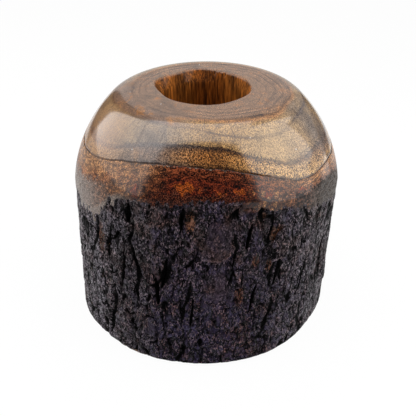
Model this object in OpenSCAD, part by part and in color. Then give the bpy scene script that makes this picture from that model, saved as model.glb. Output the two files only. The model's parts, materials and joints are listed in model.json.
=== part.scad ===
// Tealight candle holder turned from a short length of log.
// The turned top cuts down through the wood, the inner bark and the outer bark;
// the rough outer bark stays on below it. Millimetres, +Z up, front towards -Y.
// The origin is on the turning axis, on the sawn base.

/* [Log] */
// Width of the log across the front, over the bark
log_w = 128; // [108:1:154]
// Depth of the log from front to back, over the bark
log_d = 118; // [104:1:142]
// Height from the sawn base to the flat top
log_h = 115; // [96:1:138]
// Lean of the grain away from the turning axis, in degrees
log_lean = 1.6; // [0:0.1:3]
// Depth of the flattened patch on the front right
flat_patch = 2; // [0:0.1:3]

/* [Turned top] */
// Diameter at which the flat top would meet the dome if the edge were left sharp
top_d = 80; // [66:1:92]
// Radius of the sanded edge between the flat top and the dome
top_edge_r = 16; // [4:1:18]

/* [Candle socket] */
// Diameter of the drilled socket
socket_d = 40; // [34:0.5:48]
// Depth of the drilled socket below the flat top
socket_depth = 24; // [18:0.5:30]
// Distance of the socket from the turning axis, to the left
socket_left = 1.5; // [0:0.1:3]
// Distance of the socket from the turning axis, to the back
socket_back = 3; // [0:0.1:4]
// Depth of the hand eased lip around the mouth of the socket
lip_depth = 6; // [3:0.5:8]
// Mean distance that the lip stands out from the drilled wall
lip_flare = 1.6; // [0.8:0.1:2]
// Diameter of the dimple that the drill's point leaves
point_d = 3; // [2:0.5:5]
// Depth of that dimple
point_depth = 2; // [1:0.5:3]

/* [Bark] */
// Thickness of the inner bark
inner_bark_t = 3; // [2.4:0.1:4]
// Thickness of the outer bark, measured over its ridges
outer_bark_t = 4; // [3:0.1:5.5]
// Share of its thickness that the bark loses on its thin side
thin_loss = 0.65; // [0:0.05:0.7]
// Least outer bark left under a furrow
furrow_floor = 0.6; // [0.4:0.1:1]
// Depth of a furrow between two ridges
furrow_depth = 3.2; // [1:0.1:4]
// Half the width of a furrow
furrow_w = 2; // [1.2:0.1:2.5]
// Number of furrows around the log
furrow_count = 27; // [20:1:34]
// Radius of the sanded edge around the base
base_edge_r = 1.8; // [1:0.1:3]

/* [Bark scales] */
// Thickness of a loose scale at its middle
scale_t = 1.5; // [1.2:0.1:2.4]
// Gap under a loose scale where it is still held
scale_gap = 0.15; // [0.1:0.05:0.3]
// How far the foot of a loose scale curls away from the log
scale_curl = 0.7; // [0:0.1:1.2]

/* [Hidden] */
// Each loose scale: its name, its bearing, its width, the heights of its foot and its top as
// shares of the height of the rough bark there, and how far its top leans to the right.
SCALES = [
    ["front_scale", -86, 13, 0.74, 0.99, 1.5],
    ["front_low_scale", -77, 8, 0.56, 0.76, -1],
    ["front_base_scale", -82, 9, 0.28, 0.42, 1],
    ["right_scale", -58, 12, 0.73, 0.94, 2.5],
    ["right_edge_scale", -20, 9, 0.34, 0.76, -1.5],
    ["left_curl_scale", -104, 8, 0.83, 0.99, -1],
    ["left_base_scale", -117, 10, 0.14, 0.34, 2],
    ["right_back_scale", 26, 11, 0.36, 0.7, -2],
    ["back_right_scale", 61, 12, 0.6, 0.93, 2],
    ["back_scale", 96, 13, 0.22, 0.55, -1.5],
    ["back_left_scale", 131, 10, 0.58, 0.9, -2.5],
    ["left_back_scale", 163, 9, 0.34, 0.66, 1.5],
];

columns = 160;                     // flats around each layer of the log
rows = 28;                         // rings of points up the outer bark
scale_cells = 8;                   // cells across a scale, each way
scale_rim_t = 0.35;                // thickness of a scale at its rim
swell_h = 0.5;                     // how far the ridges rise and fall along their length
lip_columns = 48;                  // flats around the eased lip
dome_steps = 28;                   // straight steps along the dome's arc
edge_steps = 8;                    // straight steps along the sanded top edge
sweep = 12;                        // how far a log layer runs past both ends before it is cut
cut = 1;                           // how far a cutter runs past the face it cuts

flat_bearing = -28;                // bearing of the flattened patch
flat_spread = 18;                  // half width of that patch, in degrees
// Where the bark is thin: the bearing, the half width in degrees and the share of thin_loss.
THIN_SIDES = [[-38, 32, 1], [-155, 25, 0.3]];
hold_margin = 3;                   // how far the unbroken ridge runs out past a scale that it holds

dome_r = log_w / 2;                                        // the dome is turned to the log's width
shoulder_z = log_h - sqrt(dome_r ^ 2 - (top_d / 2) ^ 2);   // the height of the dome's centre
edge_z = log_h - top_edge_r;                               // centre of the sanded edge's arc
edge_c = sqrt((dome_r - top_edge_r) ^ 2 - (edge_z - shoulder_z) ^ 2);
join = dome_r / (dome_r - top_edge_r);                     // from the arc's centre out to the join
join_r = edge_c * join;                                    // where the edge's arc meets the dome's
join_z = shoulder_z + (edge_z - shoulder_z) * join;
join_angle = atan2(edge_z - shoulder_z, edge_c);

// A smooth bump of height 1 at an angle, a given number of degrees wide.
function turn_between(a, b) = abs((a - b + 540) % 360 - 180);
function bump(a, middle, spread) = exp(-(turn_between(a, middle) / spread) ^ 2);

// Radius of the log over its ridges, and of the layers below, at bearing a.
function log_r(a) = (log_w + log_d) / 4 + (log_w - log_d) / 4 * cos(2 * a)
    - flat_patch * bump(a, flat_bearing, flat_spread);
function bark_share(a) = 1 - thin_loss * max([for (t = THIN_SIDES) t[2] * bump(a, t[0], t[1])]);
function outer_t(a) = outer_bark_t * bark_share(a);
function inner_r(a) = log_r(a) - outer_t(a);
function wood_r(a) = inner_r(a) - inner_bark_t * bark_share(a);

// A point on the leaning log at bearing a, distance r from the pith, height z.
function on_log(a, r, z) =
    [r * cos(a) / cos(log_lean) + (z - shoulder_z) * tan(log_lean), r * sin(a), z];
function reach(p) = norm([p.x, p.y]);

// Radius that the turning leaves at height z, and the height at which it has radius r. Below the
// shoulder the bark isn't turned, so its limit there is out of reach.
function turned_r(z) = z <= shoulder_z ? log_w
    : z <= join_z ? sqrt(dome_r ^ 2 - (z - shoulder_z) ^ 2)
    : edge_c + sqrt(max(0, top_edge_r ^ 2 - (z - edge_z) ^ 2));
function turned_z(r) = r >= dome_r ? shoulder_z
    : r >= join_r ? shoulder_z + sqrt(dome_r ^ 2 - r ^ 2)
    : r >= edge_c ? edge_z + sqrt(top_edge_r ^ 2 - (r - edge_c) ^ 2)
    : log_h;

// The height at which a layer of the log comes out through the turned top, found by
// repeating the step because the log leans.
function top_of(a, r, z, tries = 6) =
    tries == 0 ? z : top_of(a, r, turned_z(reach(on_log(a, r, z))), tries - 1);

// A furrow wanders from side to side up the log and fades in and out.
function furrow_bearing(k, z) =
    360 / furrow_count * (k + 0.3 * sin(137 * k)) + 3.2 * sin(4.1 * z + 97 * k) + 1.3 * sin(11 * z + 53 * k);
function furrow_share(k, z) = 0.62 + 0.38 * sin(5.3 * z + 211 * k);
function furrow(a, z) = max([for (k = [0:furrow_count - 1])
    furrow_share(k, z) * bump(a, furrow_bearing(k, z), furrow_w / dome_r * 180 / PI)]);
// The ridges between the furrows are a little uneven along their length.
function swell(a, z) = swell_h * sin(7 * z + 5 * a) * sin(9 * a - 3 * z);
// A loose scale is held by a high, unbroken stretch of ridge: 1 under the scale, 0 away from it.
function held(a, z) = max([for (s = SCALES) let (
    length = scale_length(s),
    across = turn_between(a, s[1]) * PI / 180 * log_r(a) / (s[2] / 2 + hold_margin),
    along = (z - scale_middle(s)) / (length / 2 + hold_margin))
    exp(-across ^ 4 - along ^ 4)]);

// Radius of the rough bark: its ridges and furrows, and the sanded edge around the base.
function edge_inset(z) = z >= base_edge_r ? 0
    : base_edge_r - sqrt(base_edge_r ^ 2 - (base_edge_r - z) ^ 2);
function bark_r(a, z) = let (h = held(a, z)) inner_r(a) + bark_share(a) * max(
    furrow_floor,
    outer_bark_t + h * swell_h
        + (1 - h) * (swell(a, z) - furrow_depth * furrow(a, z)) - edge_inset(z));

// The same surface where the turning has cut it back.
function bark_point(a, z) =
    let (p = on_log(a, bark_r(a, z), z), k = min(1, turned_r(z) / reach(p)))
    [p.x * k, p.y * k, z];

// Height of ring j up the outer bark: two rings shape the sanded edge, the rest are even.
function row_z(j, top) = j < 3 ? base_edge_r * [0, 0.3, 1][j]
    : base_edge_r + (top - base_edge_r) * (j - 2) / (rows - 2);

// Faces between m rings of n points each; a closed skin joins the last ring to the first.
function band(n, m, closed = false) =
    [for (j = [0:m - (closed ? 1 : 2)], i = [0:n - 1])
        let (k = (i + 1) % n, low = j * n, high = (j + 1) % m * n)
        each [[low + i, high + i, low + k], [low + k, high + i, high + k]]];

module leaning() {
    translate([0, 0, shoulder_z]) rotate([0, log_lean, 0]) translate([0, 0, -shoulder_z]) children();
}

// The wood and the inner bark as straight layers, before anything is cut.
module wood_layer() {
    leaning() translate([0, 0, -sweep]) linear_extrude(log_h + 2 * sweep)
        polygon([for (i = [0:columns - 1]) let (a = i * 360 / columns) wood_r(a) * [cos(a), sin(a)]]);
}
module inner_layer() {
    leaning() translate([0, 0, -sweep]) linear_extrude(log_h + 2 * sweep)
        polygon([for (i = [0:columns - 1]) let (a = i * 360 / columns) inner_r(a) * [cos(a), sin(a)]]);
}

// The shape that the lathe leaves: a straight side, the dome, the sanded edge, the flat top.
module turned_shape() {
    rotate_extrude($fn = 180) polygon(concat(
        [[0, 0], [dome_r, 0]],
        [for (i = [0:dome_steps]) let (t = join_angle * i / dome_steps)
            [dome_r * cos(t), shoulder_z + dome_r * sin(t)]],
        [for (i = [1:edge_steps]) let (t = join_angle + (90 - join_angle) * i / edge_steps)
            [edge_c + top_edge_r * cos(t), edge_z + top_edge_r * sin(t)]],
        [[0, log_h]]));
}

// The eased lip: it starts on the drilled wall at lip_depth, and is uneven at the mouth.
function lip_lobes(a) = 1 + 0.42 * cos(2 * a + 87) + 0.36 * cos(4 * a + 20)
    + 0.26 * cos(5 * a - 103) + 0.24 * cos(6 * a + 120);
function lip_r(a, share) = socket_d / 2 / cos(180 / lip_columns) + share * lip_flare * lip_lobes(a);
module lip() {
    rings = [[-1.3 * lip_depth, -0.3], [-0.4 * lip_depth, 0.6], [0, 1], [cut, 1]];
    n = lip_columns;
    points = [for (g = rings, i = [0:n - 1]) let (a = i * 360 / n, r = lip_r(a, g[1]))
        [r * cos(a), r * sin(a), g[0]]];
    ends = [[for (i = [0:n - 1]) i], [for (i = [1:n]) len(points) - i]];
    polyhedron(points, concat(band(n, len(rings)), ends));
}
module socket() {
    translate([-socket_left, socket_back, log_h]) {
        translate([0, 0, -socket_depth]) cylinder(h = socket_depth + cut, d = socket_d, $fn = 120);
        translate([0, 0, -socket_depth - point_depth])
            cylinder(h = point_depth + cut, d1 = 0.4, d2 = point_d * (1 + cut / point_depth), $fn = 32);
        lip();
    }
}

module wood_body() {
    color("#8f6a41") difference() {
        intersection() {
            turned_shape();
            wood_layer();
        }
        socket();
    }
}

module inner_bark() {
    color("#6b3419") difference() {
        intersection() {
            turned_shape();
            inner_layer();
        }
        wood_layer();
    }
}

// Rough outside, a straight wall against the inner bark, and a thin edge where the dome ends it.
module outer_bark() {
    angles = [for (i = [0:columns - 1]) i * 360 / columns];
    tops = [for (a = angles) top_of(a, inner_r(a), shoulder_z)];
    foot = [for (a = angles) on_log(a, inner_r(a), 0)];
    outside = [for (j = [0:rows - 1], i = [0:columns - 1]) bark_point(angles[i], row_z(j, tops[i]))];
    edge = [for (i = [0:columns - 1]) on_log(angles[i], inner_r(angles[i]), tops[i])];
    color("#35302f") polyhedron(concat(foot, outside, edge), band(columns, rows + 2, closed = true));
}

// A loose scale lies over the ridges. It feathers out at its top and its sides, and is thickest
// along its foot, which is broken off square and curls away from the log. Its two sides and its
// two ends are torn: each wanders in two sine waves of its own.
function scale_seat(a) = log_r(a) + swell_h * bark_share(a) + scale_gap;
function scale_top(s) = turned_z(scale_seat(s[1]) + scale_curl + scale_t);
function scale_length(s) = (s[4] - s[3]) * scale_top(s);
function scale_middle(s) = (s[4] + s[3]) / 2 * scale_top(s);

function torn(s, t, edge) =
    0.1 * sin(170 * t + 61 * s[1] + 130 * edge) + 0.06 * sin(420 * t + 37 * s[1] + 70 * edge);

// A point of scale s: u runs from -1 to 1 across it, v from -1 at its foot to 1 at its top, and
// side is 0 underneath and 1 outside.
function scale_point(s, u, v, side) =
    let (
        z = scale_middle(s)
            + scale_length(s) / 2 * v * (1 - 0.12 * u ^ 2 + 0.6 * v ^ 2 * torn(s, u, 2 * sign(v))),
        blunt = sqrt(1 - (v < 0 ? 0.55 : 0.75) * v ^ 4) * (1 - 0.1 * v),
        half = s[2] / 2 * (blunt + torn(s, v, sign(u))),
        a = s[1] + (u * half + s[5] * (v + 1) / 2) / log_r(s[1]) * 180 / PI,
        t = scale_rim_t + (scale_t - scale_rim_t) * (1 - u ^ 2) * (1 - v) * (3 + v) / 4)
    on_log(a, scale_seat(a) + scale_curl * (1 - v) ^ 2 / 4 + side * t, z);

module bark_scale(s) {
    n = scale_cells;
    m = 2 * (n + 1);
    across = [for (i = [0:n]) i / n * 2 - 1];
    points = [for (v = across) each concat(
        [for (i = [0:n]) scale_point(s, across[i], v, 0)],
        [for (i = [n:-1:0]) scale_point(s, across[i], v, 1)])];
    foot_cap = [for (i = [0:n - 1]) [i, i + 1, m - 2 - i, m - 1 - i]];
    high_cap = [for (f = foot_cap) [for (k = [3:-1:0]) f[k] + n * m]];
    color("#453e3d") polyhedron(points, concat(band(m, n + 1), foot_cap, high_cap));
}

wood_body();
inner_bark();
outer_bark();
for (s = SCALES) bark_scale(s);
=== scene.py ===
"""Looks of a tealight candle holder turned from a short log, laid out as a Blender add-on.

The wood, the two layers of bark and the loose bark scales are surfaces of two parameters, worked
out with numpy in millimetres and written to meshes in metres, in the same frame as the drawing.
"""

import itertools
import json
import math

import bpy
import numpy as np
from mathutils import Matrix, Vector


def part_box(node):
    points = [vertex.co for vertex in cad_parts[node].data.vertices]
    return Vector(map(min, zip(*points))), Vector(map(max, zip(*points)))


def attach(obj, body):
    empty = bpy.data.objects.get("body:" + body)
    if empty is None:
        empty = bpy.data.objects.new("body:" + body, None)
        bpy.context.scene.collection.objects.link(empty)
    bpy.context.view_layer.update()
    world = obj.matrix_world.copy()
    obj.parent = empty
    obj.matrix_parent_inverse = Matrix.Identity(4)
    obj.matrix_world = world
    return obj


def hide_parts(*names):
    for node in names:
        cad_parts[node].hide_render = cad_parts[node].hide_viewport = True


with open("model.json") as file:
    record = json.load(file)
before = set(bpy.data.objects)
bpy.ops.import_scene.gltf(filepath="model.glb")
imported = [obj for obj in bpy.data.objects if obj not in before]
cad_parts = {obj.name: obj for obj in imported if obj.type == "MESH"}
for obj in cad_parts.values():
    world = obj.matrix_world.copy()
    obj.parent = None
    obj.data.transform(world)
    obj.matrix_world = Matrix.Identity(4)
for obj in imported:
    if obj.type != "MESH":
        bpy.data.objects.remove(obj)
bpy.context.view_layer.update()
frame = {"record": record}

bl_info = {
    "name": "Turned log tealight holder",
    "version": (1, 0, 0),
    "blender": (4, 5, 0),
    "location": "3D View > Sidebar > Log Holder",
    "description": "Builds the turned wood, the bark layers, the loose scales and the stage",
    "category": "Add Mesh",
}

MM = 1000.0
SOCKET = next(m for m in frame["record"]["mounts"] if m["name"] == "socket")
SOCKET_AT = [c * MM for c in SOCKET["pos_m"]]
TOP_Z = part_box("wood_body")[1].z

# Each loose scale: its name, its bearing, its width, the heights of its foot and its top as
# shares of the height of the rough bark there, and how far its top leans to the right.
SCALES = [
    ("front_scale", -86, 13, 0.74, 0.99, 1.5),
    ("front_low_scale", -77, 8, 0.56, 0.76, -1),
    ("front_base_scale", -82, 9, 0.28, 0.42, 1),
    ("right_scale", -58, 12, 0.73, 0.94, 2.5),
    ("right_edge_scale", -20, 9, 0.34, 0.76, -1.5),
    ("left_curl_scale", -104, 8, 0.83, 0.99, -1),
    ("left_base_scale", -117, 10, 0.14, 0.34, 2),
    ("right_back_scale", 26, 11, 0.36, 0.7, -2),
    ("back_right_scale", 61, 12, 0.6, 0.93, 2),
    ("back_scale", 96, 13, 0.22, 0.55, -1.5),
    ("back_left_scale", 131, 10, 0.58, 0.9, -2.5),
    ("left_back_scale", 163, 9, 0.34, 0.66, 1.5),
]
# Where the bark is thin: the bearing, the half width in degrees and the share of the full loss.
THIN_SIDES = [(-38, 32, 1), (-155, 25, 0.3)]
# Open slots in the bark: bearing and height of both ends, half width and depth.
SLOTS = [
    (-107, 58.7, -109, 44.1, 0.8, 2.6), (-111.7, 48.4, -110.8, 34.1, 0.8, 2.6),
    (-71.5, 77.3, -73.2, 65.1, 0.8, 2.4), (-56.8, 56.2, -59.4, 42.2, 0.8, 2.2),
    (-38.9, 48.8, -43.8, 31.4, 1.0, 2.2), (-124, 82.4, -124.5, 74.7, 1.6, 3.2),
    (-91.5, 15.5, -91.7, 12.5, 1.2, 2.6), (-100.6, 83, -101, 69, 0.5, 2.0),
    (-134, 66, -136, 52, 0.9, 2.2), (-127, 55, -129, 36, 0.8, 2.4),
    (-95, 38, -96, 24, 0.6, 2.0), (-68, 44, -70, 30, 0.7, 2.2),
]
# Height at a bearing where the sanding ends and the rough bark begins.
SANDED = [
    (-180, 76), (-163, 73), (-157, 70.5), (-150, 70.5), (-144, 71.5), (-140, 74.5), (-136, 79.5), (-132, 84),
    (-127, 86.5), (-123, 87), (-113, 86.2), (-104, 87.6), (-96, 89.5), (-86, 90.5), (-76, 88), (-68, 84),
    (-60, 82.5), (-52, 81), (-46, 78), (-40, 75.5), (-32, 73), (-22, 69.5), (-14, 68), (0, 71), (30, 78),
    (90, 88), (150, 80),
]
# Growth rings at a bearing: how far in from the edge of the wood, as a share of its radius, lie
# the broad dark ring, the fine ring in the pale sapwood, and the edge of the heartwood.
RINGS = {
    "dark": [(-165, 0.065), (-154, 0.052), (-140, 0.055), (-125, 0.085), (-109, 0.1), (-82, 0.1),
             (-75, 0.086), (-67, 0.072), (-56, 0.063), (-45, 0.072), (-36, 0.072), (0, 0.075), (45, 0.08),
             (90, 0.07), (135, 0.075)],
    "fine": [(-161, 0.252), (-144, 0.261), (-132, 0.236), (-128, 0.243), (-120, 0.235), (-112, 0.215),
             (-95, 0.212), (-85, 0.177), (-75, 0.172), (-67, 0.174), (-54, 0.202), (-40, 0.231), (-33, 0.25),
             (-21, 0.262), (0, 0.26), (45, 0.24), (90, 0.23), (135, 0.24)],
    "heart": [(-170, 0.4), (-147, 0.4), (-127, 0.39), (-119, 0.374), (-96, 0.36), (-75, 0.345), (-54, 0.36),
              (-41, 0.349), (-28, 0.377), (-5, 0.377), (30, 0.38), (90, 0.37), (150, 0.38)],
}


# ---------------------------------------------------------------- sizes and colours

def length(name, description, metres):
    """A size in metres that is never below zero."""
    return bpy.props.FloatProperty(name=name, description=description, default=metres, min=0, unit="LENGTH")


def colour(name, description, *rgb):
    """A colour, given from 0 to 255 as it shows on a screen."""
    return bpy.props.FloatVectorProperty(name=name, description=description, default=linear(*rgb)[:3],
                                         min=0, max=1, size=3, subtype="COLOR")


def linear(red, green, blue):
    """The scene's linear values of a colour that is given from 0 to 255 as it shows on a screen."""
    shown = [c / 255 for c in (red, green, blue)]
    return tuple(c / 12.92 if c < 0.04045 else ((c + 0.055) / 1.055) ** 2.4 for c in shown) + (1.0,)


class LogSizes(bpy.types.PropertyGroup):
    """The sizes of the turned log, as the drawing gives them."""

    log_width: length("Log width", "Width of the log across the front, over the bark", 0.128)
    log_depth: length("Log depth", "Depth of the log from front to back, over the bark", 0.118)
    log_height: length("Log height", "Height from the sawn base to the flat top", TOP_Z)
    lean: bpy.props.FloatProperty(name="Lean", description="Lean of the grain away from the turning axis",
                                  default=math.radians(1.6), subtype="ANGLE")
    flat_patch: length("Flat patch", "Depth of the flattened patch on the front right", 0.002)
    top_width: length("Top width", "Diameter at which the flat top would meet the dome", 0.080)
    top_edge: length("Top edge radius", "Radius of the sanded edge between the flat top and the dome", 0.016)
    socket_radius: length("Socket radius", "Radius of the drilled socket", SOCKET["dims"]["r_mm"] / MM)
    socket_depth: length("Socket depth", "Depth of the drilled socket below the flat top", 0.024)
    lip_depth: length("Lip depth", "Depth of the hand eased lip around the mouth", 0.006)
    lip_flare: length("Lip flare", "Mean distance that the lip stands out from the drilled wall", 0.0016)
    point_width: length("Drill point width", "Diameter of the dimple that the drill's point leaves", 0.003)
    point_depth: length("Drill point depth", "Depth of that dimple", 0.002)
    inner_bark: length("Inner bark", "Thickness of the inner bark", 0.003)
    outer_bark: length("Outer bark", "Thickness of the outer bark, measured over its ridges", 0.004)
    thin_loss: bpy.props.FloatProperty(
        name="Thin side", description="Share of its thickness that the bark loses on its thin side",
        default=0.65, min=0, max=0.7, subtype="FACTOR")
    furrow_depth: length("Furrow depth", "Depth of a furrow between two ridges", 0.0032)
    furrow_width: length("Furrow width", "Half the width of a furrow", 0.002)
    furrows: bpy.props.IntProperty(name="Furrows", description="Number of furrows around the log",
                                   default=27, min=20)
    base_edge: length("Base edge radius", "Radius of the sanded edge around the base", 0.0018)
    scale_thickness: length("Scale thickness", "Thickness of a loose scale at its middle", 0.0015)
    scale_gap: length("Scale gap", "Gap under a loose scale where it is still held", 0.00015)
    scale_curl: length("Scale curl", "How far the foot of a loose scale curls away from the log", 0.0007)


class LogColours(bpy.types.PropertyGroup):
    """The colours of the wood and the bark."""

    sapwood: colour("Sapwood", "Pale wood between the rings", 160, 123, 77)
    golden: colour("Golden sapwood", "Wood between the dark ring and the bark", 146, 92, 40)
    cream: colour("Cream sapwood", "Palest sapwood, at the front right", 196, 168, 128)
    # Grey for two patches: a painted haze of reflected light at the left, and a grey patch at the right.
    greyed: colour("Greyed wood", "Wood that has gone grey under its gloss", 104, 94, 86)
    ring: colour("Ring", "Dark late wood of a growth ring", 62, 36, 20)
    amber: colour("Amber band", "Warm band outside the heartwood", 172, 122, 78)
    heartwood: colour("Heartwood", "Brown heartwood", 131, 97, 71)
    heart_ring: colour("Heartwood ring", "Dark ring in the heartwood", 76, 42, 26)
    socket: colour("Socket wall", "Cut wood inside the socket", 144, 84, 30)
    inner_bark: colour("Inner bark", "Red brown inner bark", 64, 22, 9)
    side_bark: colour("Side bark", "Tan inner bark at the sides", 129, 90, 58)
    ember: colour("Ember patch", "Orange patch at the edge of the inner bark", 150, 70, 20)
    ridge: colour("Bark ridge", "Outer bark along its ridges", 58, 48, 53)
    # Near black, painted as shade into the bark's cracks and at the feet of its flakes.
    fissure: colour("Bark fissure", "Outer bark deep in its furrows", 10, 6, 8)
    rust: colour("Bark rust", "Brown tint on the bark", 84, 52, 34)
    sanded: colour("Sanded bark", "Outer bark where the turning cut it smooth", 64, 57, 53)


# ---------------------------------------------------------------- noise and helpers

def ease(value, low, high):
    """0 below low and 1 above high, and 3t^2 - 2t^3 of the way between them."""
    t = np.clip((value - low) / (high - low), 0, 1)
    return t * t * (3 - 2 * t)


def turn(a, b):
    """The turn from bearing b to bearing a, from -180 to 180 degrees."""
    return (a - b + 540) % 360 - 180


def turn_between(a, b):
    """The angle between two bearings, from 0 to 180 degrees."""
    return np.abs(turn(a, b))


def bump(a, middle, spread):
    """exp(-(angle / spread)^2): a smooth bump of height 1 around a bearing."""
    return np.exp(-(turn_between(a, middle) / spread) ** 2)


def softer(a, b, width):
    """The lower of a and b, rounded over where they cross: half of a + b - sqrt((a - b)^2 + width^2)."""
    return (a + b - np.sqrt((a - b) ** 2 + width ** 2)) / 2


def around(bearing, table):
    """A table of (bearing, value) read at any bearing. It is smoothed by the bump exp(-(angle / 4)^2),
    in degrees, out to 8 degrees each way."""
    at = np.arange(720) / 2
    ready = np.interp(at, [b % 360 for b, v in table], [v for b, v in table], period=360)
    window = np.exp(-(np.arange(-16, 17) / 8.0) ** 2)
    ready = np.convolve(np.concatenate([ready[-16:], ready, ready[:16]]), window / window.sum(), "valid")
    return np.interp(bearing % 360, at, ready, period=360)


def on_drum(a, r, z):
    """Points at bearing a and height z on an upright drum, where a noise closes round the log."""
    return np.stack(np.broadcast_arrays(r * np.cos(np.radians(a)), r * np.sin(np.radians(a)), z), -1)


def number_of(i, j, k, seed):
    """A repeatable number from 0 to 1 for each whole-numbered cell i, j, k."""
    h = (i * 374761393 + j * 668265263 + k * 1440670441 + seed * 974634777) & 0xFFFFFFFF
    h = ((h ^ (h >> 13)) * 1274126177) & 0xFFFFFFFF
    h = ((h ^ (h >> 15)) * 2246822519) & 0xFFFFFFFF
    return ((h ^ (h >> 16)) & 0xFFFFFF) / 0xFFFFFF


def cloudy(points, seed, octaves=1):
    """Smooth noise from -1 to 1. Each corner of a unit grid has a number of its own, and a point
    takes the mean of its eight corners weighted by 6t^5 - 15t^4 + 10t^3 along each axis. Each
    further octave is half the size and half the height."""
    total, height, reach = 0, 1.0, 0
    for octave in range(octaves):
        cell = np.floor(points).astype(np.int64)
        t = points - cell
        w = t ** 3 * (t * (t * 6 - 15) + 10)
        for corner in itertools.product((0, 1), repeat=3):
            share = np.prod([w[..., n] if c else 1 - w[..., n] for n, c in enumerate(corner)], axis=0)
            own = number_of(*[cell[..., n] + corner[n] for n in range(3)], seed + octave)
            total = total + height * share * (2 * own - 1)
        points, height, reach = points * 2.03, height / 2, reach + height
    return total / reach


def folded(points, seed, octaves=3):
    """Folded noise from 0 to 1: the mean over the octaves of 1 - |noise|, squared, so that it
    stands in sharp crests."""
    total = sum((1 - np.abs(cloudy(points * 2.03 ** n, seed + 7 * n))) ** 2 * 0.55 ** n
                for n in range(octaves))
    return total / sum(0.55 ** n for n in range(octaves))


def plates(u, v, count, seed):
    """Irregular plates around the log. u counts plates around it and closes after count, and v
    counts them upwards. Every cell of that grid has one centre, and a point belongs to the nearest.
    Returns its distance from the plate's border, the plate's own number from 0 to 1, and how far
    above the plate's centre it lies."""
    i, j = np.floor(u).astype(np.int64), np.floor(v).astype(np.int64)
    near, far = np.full(u.shape, 9.0), np.full(u.shape, 9.0)
    own, rise = np.zeros(u.shape), np.zeros(u.shape)
    for di, dj in itertools.product((-1, 0, 1), repeat=2):
        ring = (i + di) % count
        x = i + di + 0.5 + 0.9 * (number_of(ring, j + dj, 0, seed) - 0.5) - u
        y = j + dj + 0.5 + 0.9 * (number_of(ring, j + dj, 1, seed) - 0.5) - v
        d = np.hypot(x, y)
        closer = d < near
        far = np.where(closer, near, np.minimum(far, d))
        own = np.where(closer, number_of(ring, j + dj, 2, seed), own)
        rise = np.where(closer, -y, rise)
        near = np.where(closer, d, near)
    return far - near, own, rise


# ---------------------------------------------------------------- the shape of the log

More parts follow.
